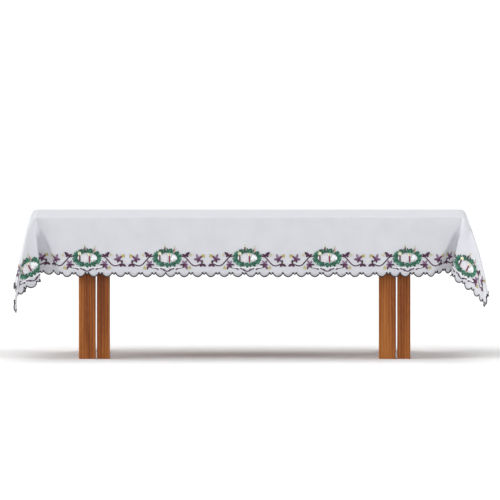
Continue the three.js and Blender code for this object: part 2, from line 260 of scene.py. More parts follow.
class AltarClothSettings(bpy.types.PropertyGroup):
    thickness: size_property("Thickness", "Thickness of the linen", 0.0012)
    cell: size_property("Thread pitch", "Distance between the drawn threads of the weave", 0.0016)
    linen: colour_property("Linen", "Bleached linen", "#cfd1d6")
    linen_shade: colour_property("Linen shade", "Slightly greyer threads", "#cacbd1")
    edging_width: size_property("Edging width", "Width of the satin-stitched edge", 0.006)
    knot: size_property("Knot", "Width of the knots in the hem's notches", 0.0105)
    edging: colour_property("Edging", "Thread of the hem's edge", "#1f0b19")


class AltarBorderSettings(bpy.types.PropertyGroup):
    relief: size_property("Relief", "Height of the padded stitches over the linen", 0.0016)
    stitch: size_property("Stitch pitch", "Distance between the drawn stitches", 0.0012)
    leaf: colour_property("Leaf", "Middle green thread", "#276c52")
    dark_leaf: colour_property("Dark leaf", "Dark green thread", "#185040")
    light_leaf: colour_property("Light leaf", "Light green thread", "#4f9479")
    dark_purple: colour_property("Dark purple", "Dark purple thread", "#421338")
    purple: colour_property("Purple", "Petals' purple thread", "#74386c")
    mauve: colour_property("Mauve", "Light mauve thread", "#9c78a2")
    maroon: colour_property("Maroon", "Candles' maroon thread", "#7c2c40")
    dark_maroon: colour_property("Dark maroon", "Shaded candle's thread", "#54202b")
    pink: colour_property("Pink", "Pink thread", "#c2958e")
    plum: colour_property("Plum", "Stems' dark plum thread", "#45173b")
    yellow: colour_property("Yellow", "Flames' and small flowers' thread", "#bcae5a")
    cream: colour_property("Cream", "Glow round a flame", "#f4eed2")
    white: colour_property("White", "White thread", "#f5f8fa")
    pale: colour_property("Pale", "Pale ground inside a wreath", "#dddbe1")


class AltarTimberSettings(bpy.types.PropertyGroup):
    edge: size_property("Edge", "Rounding of the timbers' edges", 0.003)
    grain: size_property("Grain", "Width of a band of the grain", 0.015)
    dark: colour_property("Dark grain", "Stain in the late wood", "#6a3310")
    middle: colour_property("Middle grain", "Stain on the flat of the wood", "#8b4b1b")
    # Near the feet the wood is pushed towards this colour by painted light, as well as by the grain
    light: colour_property("Light grain", "Worn, lighter wood", "#a9682f")


class AltarStageSettings(bpy.types.PropertyGroup):
    floor: colour_property("Floor", "Pale studio floor", "#fbfbfb")
    sky: strength_property("Soft light", "Light from all round", 0.1)
    key: strength_property("Key light", "Wide light from the front left, above", 0.6)
    left: strength_property("Left light", "Low wide light from the left", 2.3)
    right: strength_property("Right light", "Low wide light from the right", 2.0)
    front: strength_property("Front light", "Low wide light from the front", 0.65)
    back: strength_property("Back light", "Wide light from behind, above", 1.45)


def turn_out(w):
    """Outward travel of a strip that turns over the table's edge and then hangs."""
    return TURN * math.sin(w / TURN) if w < QUARTER else TURN


def turn_down(w):
    """Fall of such a strip."""
    return TURN * (1.0 - math.cos(w / TURN)) if w < QUARTER else w - QUARTER + TURN


def fan_value(rows, column, angle):
    """A smooth curve through one column of a fan."""
    last = len(rows) - 1
    if angle <= rows[0][0]:
        return rows[0][column]
    if angle >= rows[last][0]:
        return rows[last][column]
    i = 0
    while rows[i + 1][0] < angle:
        i += 1
    a, b = rows[i], rows[i + 1]
    before, after = rows[max(i - 1, 0)], rows[min(i + 2, last)]
    span = b[0] - a[0]
    t = (angle - a[0]) / span
    slope_a = (b[column] - before[column]) / (b[0] - before[0])
    slope_b = (after[column] - a[column]) / (after[0] - a[0])
    return ((2 * t ** 3 - 3 * t ** 2 + 1) * a[column] + (t ** 3 - 2 * t ** 2 + t) * span * slope_a
            + (3 * t ** 2 - 2 * t ** 3) * b[column] + (t ** 3 - t ** 2) * span * slope_b)


def fan_of(u, v):
    """The table of the folded corner that a point of the flat cloth is nearest to."""
    if v > 0:
        return BACK_FAN
    return FRONT_RIGHT_FAN if u > 0 else FRONT_LEFT_FAN


def angle_at(u, v):
    """Angle of a point of the flat cloth about the table's nearest corner."""
    return math.degrees(math.atan2(abs(u) - HALF_X, abs(v) - HALF_Y))


def wave_at(along, fall, hang):
    """How far a hanging side stands out of its plumb plane."""
    swing = sum(h * math.sin(2 * math.pi * along / w + start) for w, start, h in WAVES)
    return (swing + WAVES[0][2]) * smooth_step(fall, WAVE_START, hang)


def swell_at(reach, bulge):
    """How far the loose cloth of a corner lies outside its plumb line, that far from the corner."""
    out, depth = bulge
    puff = out * (1 - math.exp(-reach / BULGE_START)) * max(0.0, 1 - reach / depth)
    return SWELL * reach * max(0.0, 1 - reach / SWELL_REACH) + puff


def corner_at(rows, angle, reach, bulge):
    """Place of a point of a folded corner: out to the end, out to the long side, and its fall."""
    full = smooth_step(reach, FOLD_START, FOLD_FULL)
    out = fan_value(rows, OUT_TOP, angle) * (1 - full) + fan_value(rows, OUT_LOW, angle) * full
    front = fan_value(rows, FRONT_TOP, angle) * (1 - full) + fan_value(rows, FRONT_LOW, angle) * full
    heading = math.hypot(out, front) or 1.0
    lean = math.radians(math.hypot(out, front))
    in_ear = smooth_step(angle, *EAR_BEGINS) * smooth_step(-angle, -EAR_ENDS[1], -EAR_ENDS[0])
    length = reach * (1 + STRETCH * in_ear)
    swell = in_ear * swell_at(reach, bulge)
    round_corner = math.radians(90 * smooth_step(angle, 0, 90))
    fall = length * math.cos(lean)
    spread = length * math.sin(lean) / heading
    edge = turn_out(fall)
    x = HALF_X + (0 if angle < 0 else edge + swell) * math.sin(round_corner) + spread * out
    y = HALF_Y + (0 if angle > 90 else edge + swell) * math.cos(round_corner) + spread * front
    return x, y, fall


def drape(u, v):
    """Place in space of a point of the flat cloth, in metres."""
    side_x, side_y = (-1 if u < 0 else 1), (-1 if v < 0 else 1)
    p, q = abs(u) - HALF_X, abs(v) - HALF_Y
    if p <= 0 and q <= 0:
        return placed(u, v, MIDDLE_Z)
    rows = fan_of(u, v)
    angle = angle_at(u, v)
    first, last = rows[1][0], rows[-2][0]
    if angle <= first:
        still = 1.0 - smooth_step(angle, first - STILL_WIDE, first - STILL_NEAR)
        wave = wave_at(u, q, CUT_WIDTH / 2 - HALF_Y) * still
        return placed(u, side_y * (HALF_Y + turn_out(q) + wave), MIDDLE_Z - turn_down(q))
    if angle >= last:
        still = smooth_step(angle, last + STILL_NEAR, last + STILL_WIDE)
        wave = wave_at(v, p, CUT_LENGTH / 2 - HALF_X) * still
        lean = math.radians(END_LEAN)
        drop = p * math.cos(lean)
        x = HALF_X + turn_out(drop) + p * math.sin(lean) + wave
        return placed(side_x * x, v, MIDDLE_Z - turn_down(drop))
    x, y, fall = corner_at(rows, angle, math.hypot(p, q), BULGE_LEFT if u < 0 else BULGE_RIGHT)
    return placed(side_x * x, side_y * y, MIDDLE_Z - turn_down(fall))


def placed(x, y, z):
    """Millimetres from the table's middle as metres in the frame."""
    return Vector((TABLE_MIDDLE.x + x * MM, TABLE_MIDDLE.y + y * MM, z * MM))


def over_cloth(u, v, height):
    """A point that stands height millimetres out of the draped cloth."""
    step = 2.0
    across = drape(u + step, v) - drape(u - step, v)
    along = drape(u, v + step) - drape(u, v - step)
    return drape(u, v) + across.cross(along).normalized() * height * MM


def side_hem(runs, side_length):
    """One side's hem, as pairs of the place along it and the cut back from the edge."""
    scallops = sum(runs)
    fit = side_length / (scallops * SCALLOP + (scallops - len(runs)) * BEAD)
    points = [(-side_length / 2, SCALLOP_DEPTH)]

    def arc(width, depth, steps):
        start = points[-1][0]
        for i in range(1, steps + 1):
            bow = math.sin(math.pi * i / steps) if i < steps else 0.0
            points.append((start + width * fit * i / steps, SCALLOP_DEPTH - depth * bow ** ROUNDNESS))

    for count in runs:
        for i in range(count):
            arc(SCALLOP, SCALLOP_DEPTH, SCALLOP_STEPS)
            if i < count - 1:
                arc(BEAD, BEAD_DEPTH, BEAD_STEPS)
    return points


def hem_sides():
    """The hem's four sides, counter-clockwise from the front's left end: each point is its place
    in the flat cloth and its cut back from the edge."""
    sides = []
    for turn, half, runs in ((0, CUT_LENGTH / 2, LONG_RUNS), (1, CUT_WIDTH / 2, SHORT_RUNS),
                             (2, CUT_LENGTH / 2, LONG_RUNS), (3, CUT_WIDTH / 2, SHORT_RUNS)):
        out = CUT_WIDTH / 2 if turn % 2 == 0 else CUT_LENGTH / 2
        spin = Matrix.Rotation(turn * math.pi / 2, 3, "Z")
        side = []
        for along, cut in side_hem(runs, 2 * half):
            near = smooth_step(abs(along), half - SCALLOP, half)
            side.append(spin @ Vector((along - math.copysign(cut * near, along), cut - out, cut)))
        sides.append(side)
    return sides


def flat_cloth(bm):
    """The flat cloth as a grid whose rim lies on the scalloped hem, finer at edges and corners."""
    sides = hem_sides()
    across, down = (len(sides[0]) - 1) // 2, (len(sides[1]) - 1) // 2
    bmesh.ops.create_grid(bm, x_segments=across, y_segments=down, size=1.0)
    bmesh.ops.subdivide_edges(bm, edges=[e for e in bm.edges if e.is_boundary], cuts=1)
    rim = {v for e in bm.edges if e.is_boundary for v in e.verts}
    margin = SCALLOP_DEPTH + HEM_MARGIN
    for v in bm.verts:
        x, y = v.co.x, v.co.y
        if v not in rim:
            v.co.x = x / (1 - 2 / across) * (CUT_LENGTH / 2 - margin)
            v.co.y = y / (1 - 2 / down) * (CUT_WIDTH / 2 - margin)
            continue
        if y < -ON_RIM:
            place = sides[0][round((1 + x) * across)]
        elif x > ON_RIM:
            place = sides[1][round((1 + y) * down)]
        elif y > ON_RIM:
            place = sides[2][round((1 - x) * across)]
        else:
            place = sides[3][round((1 - y) * down)]
        v.co.xy = place.xy
    for at in (0.0, QUARTER / 3, QUARTER * 2 / 3, QUARTER):
        for co, no in (((HALF_X + at, 0, 0), (1, 0, 0)), ((-HALF_X - at, 0, 0), (1, 0, 0)),
                       ((0, HALF_Y + at, 0), (0, 1, 0)), ((0, -HALF_Y - at, 0), (0, 1, 0))):
            bmesh.ops.bisect_plane(bm, geom=bm.verts[:] + bm.edges[:] + bm.faces[:], dist=0.01,
                                   plane_co=co, plane_no=no)
    in_fans = set()
    for f in bm.faces:
        c = f.calc_center_median()
        rows = fan_of(c.x, c.y)
        outside = abs(c.x) > HALF_X or abs(c.y) > HALF_Y
        if outside and rows[1][0] - 2 < angle_at(c.x, c.y) < rows[-2][0] + 2:
            in_fans.update(f.edges)
    bmesh.ops.subdivide_edges(bm, edges=list(in_fans), cuts=1, use_grid_fill=True)


def add_node(tree, kind, settings=(), links=()):
    """Adds a node, sets its properties and inputs, and links outputs to its inputs."""
    node = tree.nodes.new(kind)
    for key, value in settings:
        if isinstance(key, str) and hasattr(node, key):
            setattr(node, key, value)
        else:
            node.inputs[key].default_value = value
    for key, socket in links:
        tree.links.new(socket, node.inputs[key])
    return node


def new_material(name):
    """An empty node material with its shader."""
    material = bpy.data.materials.new(name)
    material.use_nodes = True
    tree = material.node_tree
    tree.nodes.clear()
    shader = add_node(tree, "ShaderNodeBsdfPrincipled")
    add_node(tree, "ShaderNodeOutputMaterial", links=[("Surface", shader.outputs["BSDF"])])
    return material, tree, shader


def made_once(name, make, settings):
    """The material of that name, made from its settings if it isn't there yet."""
    return bpy.data.materials.get(name) or make(settings)


def wave_scale(pitch):
    """The wave texture's scale for bands that far apart, in metres."""
    return WAVE_TEXTURE_PITCH / pitch


# Distance between the wave texture's bands at scale 1
WAVE_TEXTURE_PITCH = math.pi / 10
LIGHT_THREADS = ("white", "cream", "pale")
LINEN = "bleached_plain_woven_linen"
THREAD = "satin_stitched_rayon_thread"


def linen_material(cloth):
    """Bleached linen, plain woven: matt, with uneven threads that make the tone slightly mottled.
    The weave is drawn about twice as coarse as the real 0.8 mm pitch, so that it shows."""
    material, tree, shader = new_material(LINEN)
    flat = add_node(tree, "ShaderNodeUVMap", [("uv_map", "flat")])
    scale = wave_scale(cloth.cell)
    warp = add_node(tree, "ShaderNodeTexWave",
                    [("bands_direction", "X"), ("Scale", scale), ("Distortion", 0.6),
                     ("Detail", 1.0), ("Detail Scale", 0.4)],
                    [("Vector", flat.outputs["UV"])])
    weft = add_node(tree, "ShaderNodeTexWave",
                    [("bands_direction", "Y"), ("Scale", scale), ("Distortion", 0.6),
                     ("Detail", 1.0), ("Detail Scale", 0.4)],
                    [("Vector", flat.outputs["UV"])])
    weave = add_node(tree, "ShaderNodeMath", [("operation", "ADD")],
                     [(0, warp.outputs["Fac"]), (1, weft.outputs["Fac"])])
    cloud = add_node(tree, "ShaderNodeTexNoise", [("Scale", 9.0), ("Detail", 4.0), ("Roughness", 0.6)],
                     [("Vector", flat.outputs["UV"])])
    slub = add_node(tree, "ShaderNodeTexNoise", [("Scale", 170.0), ("Detail", 2.0)],
                    [("Vector", flat.outputs["UV"])])
    tone = add_node(tree, "ShaderNodeMath", [("operation", "MULTIPLY_ADD"), (1, 0.35)],
                    [(0, slub.outputs["Fac"]), (2, cloud.outputs["Fac"])])
    mix = add_node(tree, "ShaderNodeValToRGB", links=[("Fac", tone.outputs["Value"])])
    mix.color_ramp.elements[0].position = 0.45
    mix.color_ramp.elements[0].color = cloth.linen_shade
    mix.color_ramp.elements[1].position = 0.85
    mix.color_ramp.elements[1].color = cloth.linen
    bump = add_node(tree, "ShaderNodeBump", [("Strength", 0.25), ("Distance", 0.0004)],
                    [("Height", weave.outputs["Value"])])
    crumple = add_node(tree, "ShaderNodeTexNoise", [("Scale", 16.0), ("Detail", 3.0)],
                       [("Vector", flat.outputs["UV"])])
    soft = add_node(tree, "ShaderNodeBump", [("Strength", 0.12), ("Distance", 0.01)],
                    [("Height", crumple.outputs["Fac"]), ("Normal", bump.outputs["Normal"])])
    tree.links.new(mix.outputs["Color"], shader.inputs["Base Color"])
    tree.links.new(soft.outputs["Normal"], shader.inputs["Normal"])
    shader.inputs["Roughness"].default_value = 0.88
    shader.inputs["Specular IOR Level"].default_value = 0.3
    shader.inputs["Sheen Weight"].default_value = 0.12
    shader.inputs["Sheen Roughness"].default_value = 0.5
    return material


def satin_material(border):
    """Satin stitch in twisted rayon thread: padded, lying in close rows that shine softly, partly
    through a painted sheen on each row's crest and in small flecks, with painted shade between the
    rows.
    The rows are drawn about three times as far apart as the real 0.4 mm, so that they show."""
    material, tree, shader = new_material(THREAD)
    thread = add_node(tree, "ShaderNodeAttribute", [("attribute_name", "thread")])
    row = add_node(tree, "ShaderNodeAttribute", [("attribute_name", "stitch")])
    turns = add_node(tree, "ShaderNodeMath",
                     [("operation", "MULTIPLY"), (1, 2 * math.pi / (border.stitch / MM))],
                     [(0, row.outputs["Fac"])])
    ridge = add_node(tree, "ShaderNodeMath", [("operation", "SINE")], [(0, turns.outputs["Value"])])
    coords = add_node(tree, "ShaderNodeTexCoord")
    painted_sheen_fleck = add_node(tree, "ShaderNodeTexNoise", [("Scale", 260.0), ("Detail", 2.0)],
                     [("Vector", coords.outputs["Object"])])
    # Painted sheen and shade: the thread's colour is made lighter on each row's crest and darker
    # between rows, and lighter or darker in small random flecks
    light = add_node(tree, "ShaderNodeMath", [("operation", "MULTIPLY_ADD"), (1, 0.09)],
                     [(0, ridge.outputs["Value"]), (2, painted_sheen_fleck.outputs["Fac"])])
    value = add_node(tree, "ShaderNodeMapRange",
                     [("From Min", 0.25), ("From Max", 0.75), ("To Min", 0.72), ("To Max", 1.3)],
                     [("Value", light.outputs["Value"])])
    thread_with_painted_sheen = add_node(tree, "ShaderNodeHueSaturation", links=[
        ("Color", thread.outputs["Color"]), ("Value", value.outputs["Result"])])
    bump = add_node(tree, "ShaderNodeBump", [("Strength", 0.5), ("Distance", 0.0004)],
                    [("Height", ridge.outputs["Value"])])
    tree.links.new(thread_with_painted_sheen.outputs["Color"], shader.inputs["Base Color"])
    tree.links.new(bump.outputs["Normal"], shader.inputs["Normal"])
    shader.inputs["Roughness"].default_value = 0.42
    shader.inputs["Sheen Weight"].default_value = 0.08
    return material


# The wood: how far its pattern is drawn out along the grain, the places of its three tones, the
# height in metres up to which painted light and shade change, and how much lighter it is at the foot
# and at that height: painted light at the feet, and painted shade higher up, under the cloth
ALONG_GRAIN = 0.07
DARK_STOP, MIDDLE_STOP, LIGHT_STOP = 0.55, 0.72, 0.95
PAINTED_GRADIENT_HEIGHT = 0.5
PAINTED_LIGHT_AT_FOOT, PAINTED_SHADE_AT_TOP = 0.13, -0.08


def wood_material(timber, axis):
    """Spruce, stained brown and waxed: long straight grain along the timber under wide, soft bands
    of stain, satin. Painted light makes it lighter towards the feet, and painted shade makes it darker
    near the top, under the cloth."""
    material, tree, shader = new_material("stained_waxed_spruce_along_" + "xyz"[axis])
    coords = add_node(tree, "ShaderNodeTexCoord")
    squeeze = [1.0, 1.0, 1.0]
    squeeze[axis] = ALONG_GRAIN
    mapping = add_node(tree, "ShaderNodeMapping", [("Scale", squeeze)],
                       [("Vector", coords.outputs["Object"])])
    bands = add_node(tree, "ShaderNodeTexWave",
                     [("bands_direction", "Y" if axis == 0 else "X"), ("Distortion", 5.0),
                      ("Scale", wave_scale(timber.grain)), ("Detail", 3.0), ("Detail Scale", 1.2)],
                     [("Vector", mapping.outputs["Vector"])])
    fibre = add_node(tree, "ShaderNodeTexNoise", [("Scale", 420.0), ("Detail", 3.0)],
                     [("Vector", mapping.outputs["Vector"])])
    stain = add_node(tree, "ShaderNodeTexNoise", [("Scale", 16.0), ("Detail", 2.0)],
                     [("Vector", mapping.outputs["Vector"])])
    place = add_node(tree, "ShaderNodeSeparateXYZ", links=[("Vector", coords.outputs["Object"])])
    # Painted light and shade: lighter towards the feet, darker higher up under the cloth; added to the
    # random stain below
    painted_light_and_shade = add_node(tree, "ShaderNodeMapRange",
                    [("From Max", PAINTED_GRADIENT_HEIGHT), ("To Min", PAINTED_LIGHT_AT_FOOT), ("To Max", PAINTED_SHADE_AT_TOP)],
                    [("Value", place.outputs["Z"])])
    stain_and_painted_shade = add_node(tree, "ShaderNodeMath", [("operation", "ADD")],
                    [(0, stain.outputs["Fac"]), (1, painted_light_and_shade.outputs["Result"])])
    grain = add_node(tree, "ShaderNodeMath", [("operation", "MULTIPLY_ADD"), (1, 0.5)],
                     [(0, bands.outputs["Fac"]), (2, fibre.outputs["Fac"])])
    tone = add_node(tree, "ShaderNodeMath", [("operation", "MULTIPLY_ADD"), (1, 0.3)],
                    [(0, grain.outputs["Value"]), (2, stain_and_painted_shade.outputs["Value"])])
    ramp = add_node(tree, "ShaderNodeValToRGB", links=[("Fac", tone.outputs["Value"])])
    stops = ramp.color_ramp.elements
    stops[0].position, stops[0].color = DARK_STOP, timber.dark
    stops[1].position, stops[1].color = LIGHT_STOP, timber.light
    stops.new(MIDDLE_STOP).color = timber.middle
    bump = add_node(tree, "ShaderNodeBump", [("Strength", 0.2), ("Distance", 0.0005)],
                    [("Height", grain.outputs["Value"])])
    tree.links.new(ramp.outputs["Color"], shader.inputs["Base Color"])
    tree.links.new(bump.outputs["Normal"], shader.inputs["Normal"])
    shader.inputs["Roughness"].default_value = 0.55
    shader.inputs["Specular IOR Level"].default_value = 0.25
    return material


def finish_piece(name, bm, material, smooth=True):
    """Turns a bmesh into a piece at the origin."""
    mesh = bpy.data.meshes.new(name)
    bm.to_mesh(mesh)
    bm.free()
    for polygon in mesh.polygons:
        polygon.use_smooth = smooth
    piece = bpy.data.objects.new(name, mesh)
    piece.data.materials.append(material)
    bpy.context.scene.collection.objects.link(piece)
    return piece


class Stitching:
    """A bmesh of satin-stitched patches in the flat, with each patch's colour and rows."""

    def __init__(self, border):
        self.bm = bmesh.new()
        self.thread = self.bm.verts.layers.float_color.new("thread")
        self.stitch = self.bm.verts.layers.float.new("stitch")
        self.border = border

    def colour(self, name, rng):
        """A thread colour, slightly lighter or darker."""
        base = getattr(self.border, name)
        share = rng.uniform(0.97, 1.0) if name in LIGHT_THREADS else rng.uniform(0.82, 1.2)
        return [min(c * share, 1.0) for c in base[:3]] + [1.0]

    def patch(self, name, start, end, width, rng, point=0.35, square=1.0, lift=0.0, sides=12):
        """A padded patch from start to end. point narrows its tips and square fills its corners."""
        a, b = Vector(start), Vector(end)
        axis = b - a
        length = axis.length
        made = bmesh.ops.create_circle(self.bm, cap_ends=True, segments=sides, radius=1.0)["verts"]
        colour = self.colour(name, rng)
        for v in made:
            x, y = v.co.x, v.co.y
            x = math.copysign(abs(x) ** square, x)
            y = math.copysign(abs(y) ** square, y) * (1 - point * x * x)
            v.co = Vector((x * length / 2, y * width / 2, 0.0))
            v[self.thread] = colour
            v[self.stitch] = v.co.x
        face = next(f for f in made[0].link_faces)
        bmesh.ops.inset_region(self.bm, faces=[face], thickness=width * PAD_SLOPE, depth=0.0)
        every = set(made) | set(face.verts)
        for v in face.verts:
            v.co.z = self.border.relief / MM + lift
            v[self.thread] = colour
            v[self.stitch] = v.co.x
        spin = Matrix.Translation(((a + b) / 2).to_3d()) @ Matrix.Rotation(
            math.atan2(axis.y, axis.x), 4, "Z")
        bmesh.ops.transform(self.bm, matrix=spin, verts=list(every))

    def stem(self, name, points, width, rng):
        """A raised line of stem stitch along a smooth path."""
        path = smooth_path(points, 3)
        colour = self.colour(name, rng)
        bm = self.bm
        row = [bm.verts.new((0, 0, 0)) for _ in range(3)]
        edges = [bm.edges.new((row[0], row[1])), bm.edges.new((row[1], row[2]))]
        travel = 0.0
        for i, at in enumerate(path):
            ahead = (path[min(i + 1, len(path) - 1)] - path[max(i - 1, 0)]).normalized()
            aside = Vector((-ahead.y, ahead.x)) * width / 2
            if i:
                travel += (at - path[i - 1]).length
                made = bmesh.ops.extrude_edge_only(bm, edges=edges)["geom"]
                fresh = {v for v in made if isinstance(v, bmesh.types.BMVert)}
                row = [next(e.other_vert(v) for e in v.link_edges if e.other_vert(v) in fresh)
                       for v in row]
                edges = [e for e in made if isinstance(e, bmesh.types.BMEdge)
                         and set(e.verts) <= fresh]
            for v, side, height in zip(row, (1, 0, -1), (0.0, self.border.relief / MM * 0.8, 0.0)):
                v.co = (at + aside * side).to_3d()
                v.co.z = height
                v[self.thread] = colour
                v[self.stitch] = travel


def ray_along(heading):
    """A unit vector in the flat at that angle, in degrees."""
    return Vector((math.cos(math.radians(heading)), math.sin(math.radians(heading))))


def smooth_path(points, steps):
    """A smooth line through a few points."""
    path = []
    for i in range(len(points) - 1):
        a, b = Vector(points[i]), Vector(points[i + 1])
        before, after = Vector(points[max(i - 1, 0)]), Vector(points[min(i + 2, len(points) - 1)])
        for k in range(steps):
            t = k / steps
            path.append(0.5 * (2 * a + (b - before) * t + (2 * before - 5 * a + 4 * b - after) * t * t
                               + (3 * a - before - 3 * b + after) * t ** 3))
    path.append(Vector(points[-1]))
    return path


def border_places():
    """Turn and shift of every repeat: seven along the front and the back, three along the ends."""
    places = []
    for turn in range(4):
        count, out = (3, CUT_WIDTH / 2) if turn % 2 == 0 else (1, CUT_LENGTH / 2)
        shift = WREATH_SHIFT if turn % 2 == 0 else 0.0
        for k in range(-count, count + 1):
            move = Matrix.Translation((k * REPEAT + shift, WREATH_UP - out, 0))
            places.append(Matrix.Rotation(turn * math.pi / 2, 4, "Z") @ move)
    return places


def lay_border(name, stitching, material):
    """Repeats one worked motif round the border and lays it on the draped cloth's face."""
    face = bpy.context.scene.altar_cloth.thickness / MM / 2 + OFF_FACE
    template = bpy.data.meshes.new(name + "_motif")
    bmesh.ops.recalc_face_normals(stitching.bm, faces=stitching.bm.faces[:])
    stitching.bm.to_mesh(template)
    stitching.bm.free()
    bm = bmesh.new()
    for place in border_places():
        before = len(bm.verts)
        bm.from_mesh(template)
        bm.verts.ensure_lookup_table()
        bmesh.ops.transform(bm, matrix=place, verts=bm.verts[before:])
    for v in bm.verts:
        v.co = over_cloth(v.co.x, v.co.y, v.co.z + face)
    bpy.data.meshes.remove(template)
    piece = finish_piece(name, bm, material)
    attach(piece, "root")
    return piece


class ALTAR_OT_cloth(bpy.types.Operator):
    """Lay the linen cloth over the table, with its folded corners"""
    bl_idname = "altar.cloth"
    bl_label = "Linen cloth"

    def execute(self, context):
        cloth = context.scene.altar_cloth
        bm = bmesh.new()
        flat_cloth(bm)
        flat = bm.loops.layers.uv.new("flat")
        for f in bm.faces:
            for loop in f.loops:
                loop[flat].uv = loop.vert.co.xy * MM
        for v in bm.verts:
            v.co = drape(v.co.x, v.co.y)
        piece = finish_piece("linen_cloth", bm, made_once(LINEN, linen_material, cloth))
        wall = piece.modifiers.new("thickness", "SOLIDIFY")
        wall.thickness = cloth.thickness
        wall.offset = 0.0
        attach(piece, "root")
        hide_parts("altar_cloth")
        return {"FINISHED"}


class ALTAR_OT_edging(bpy.types.Operator):
    """Bind the scalloped hem with a dark satin-stitched edge"""
    bl_idname = "altar.edging"
    bl_label = "Stitched edging"

    def execute(self, context):
        cloth = context.scene.altar_cloth
        hem = [point for side in hem_sides() for point in side[:-1]]
        curve = bpy.data.curves.new("edging_path", "CURVE")
        curve.dimensions = "3D"
        curve.bevel_depth = cloth.edging_width / 2
        curve.bevel_resolution = 2
        spline = curve.splines.new("POLY")
        spline.points.add(len(hem) - 1)
        for point, (u, v, _) in zip(spline.points, hem):
            point.co = (*drape(u, v), 1.0)
        spline.use_cyclic_u = True
        path = bpy.data.objects.new("edging_path", curve)
        mesh = bpy.data.meshes.new_from_object(path)
        bm = bmesh.new()
        bm.from_mesh(mesh)
        bmesh.ops.remove_doubles(bm, verts=bm.verts[:], dist=0.00001)
        for u, v, cut in hem:
            if cut == SCALLOP_DEPTH:
                bmesh.ops.create_icosphere(bm, subdivisions=2, radius=cloth.knot / 2,
                                           matrix=Matrix.Translation(drape(u, v)))
        thread = bm.verts.layers.float_color.new("thread")
        stitch = bm.verts.layers.float.new("stitch")
        for v in bm.verts:
            v[thread] = cloth.edging
            v[stitch] = (v.co.x + v.co.y + v.co.z) / MM
        bpy.data.objects.remove(path)
        bpy.data.curves.remove(curve)
        bpy.data.meshes.remove(mesh)
        thread_material = made_once(THREAD, satin_material, context.scene.altar_border)
        piece = finish_piece("satin_edging", bm, thread_material)
        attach(piece, "root")
        return {"FINISHED"}


class ALTAR_OT_wreaths(bpy.types.Operator):
    """Work the green wreaths round the border"""
    bl_idname = "altar.wreaths"
    bl_label = "Wreaths"

    def execute(self, context):
        border = context.scene.altar_border
        work = Stitching(border)
        rng = random.Random(7)
        for row, (count, share, reach, size) in enumerate(LEAF_ROWS):
            for i in range(count):
                t = 2 * math.pi * (i + 0.5 * row) / count + rng.uniform(-LEAF_STRAY, LEAF_STRAY)
                outer = Vector((OUTER_RING[0] * math.cos(t), OUTER_RING[1] * math.sin(t)))
                inner = Vector((INNER_SHIFT + INNER_RING[0] * math.cos(t), INNER_RING[1] * math.sin(t)))
                band = outer - inner
                start = inner + band * share
                lean = Matrix.Rotation(rng.choice((-1, 1)) * rng.uniform(*LEAF_LEAN), 2)
                end = start + lean @ band.normalized() * max(band.length * reach, SHORTEST_LEAF)
                green = GREENS[rng.randrange(len(GREENS))]
                work.patch(green, start, end, size, rng, lift=ROW_LIFT * row)
        lay_border("wreaths", work, made_once(THREAD, satin_material, border))
        return {"FINISHED"}


class ALTAR_OT_candles(bpy.types.Operator):
    """Work the burning candles in the wreaths"""
    bl_idname = "altar.candles"
    bl_label = "Candles"

    def execute(self, context):
        border = context.scene.altar_border
        work = Stitching(border)
        rng = random.Random(11)
        for name, start, end, width, lift in GLOWS:
            work.patch(name, start, end, width, rng, point=0.1, lift=lift)
        for name, low, high, width, (glow, glow_width) in CANDLES:
            top = Vector(high)
            work.patch("cream", top - Vector((0, GLOW_DROP)), top + Vector((0, glow - GLOW_DROP)),
                       glow_width, rng, point=0.2, lift=0.9)
            work.patch(name, low, high, width, rng, point=0.0, square=0.45, lift=1.1)
            work.patch("dark_maroon", top, top + Vector((0, WICK[0])), WICK[1], rng, lift=1.2, sides=6)
            work.patch("yellow", top + Vector((0, FLAME[0])), top + Vector((0, FLAME[1])), FLAME[2],
                       rng, lift=1.4)
        lay_border("candles", work, made_once(THREAD, satin_material, border))
        return {"FINISHED"}


class ALTAR_OT_sprays(bpy.types.Operator):
    """Work the sprays of flowers between the wreaths"""
    bl_idname = "altar.sprays"
    bl_label = "Flower sprays"

    def execute(self, context):
        border = context.scene.altar_border
        work = Stitching(border)
        rng = random.Random(23)
        for side in (1, -1):
            def at(point):
                return Vector((side * point[0], point[1]))
            work.stem("white", [at(p) for p in SWAG], SWAG_WIDTH, rng)
            for path, width in STEMS:
                work.stem("plum", [at(p) for p in path], width, rng)
            for name, start, end, width in LEAVES:
                work.patch(name, at(start), at(end), width, rng, lift=0.2)
            for middle, petals in STARS:
                for name, heading, reach, width in petals:
                    ray = ray_along(heading)
                    root, tip = Vector(middle), Vector(middle) + ray * reach
                    work.patch("dark_purple", at(root), at(tip + ray), width + PETAL_RIM, rng, lift=0.1)
                    work.patch(name, at(root + ray * PETAL_START), at(tip - ray),
                               width - PETAL_INSET, rng, lift=0.6)
                eye, half = at(middle), Vector((FLOWER_EYE / 2, 0))
                work.patch("plum", eye - half, eye + half, FLOWER_EYE, rng, point=0, lift=0.9)
            for middle, reach, headings in YELLOW_FLOWERS:
                for heading in headings:
                    ray = ray_along(heading)
                    work.patch("yellow", at(Vector(middle) + ray), at(Vector(middle) + ray * reach),
                               reach * SMALL_PETAL, rng, lift=0.2, sides=8)
        lay_border("flower_sprays", work, made_once(THREAD, satin_material, border))
        return {"FINISHED"}


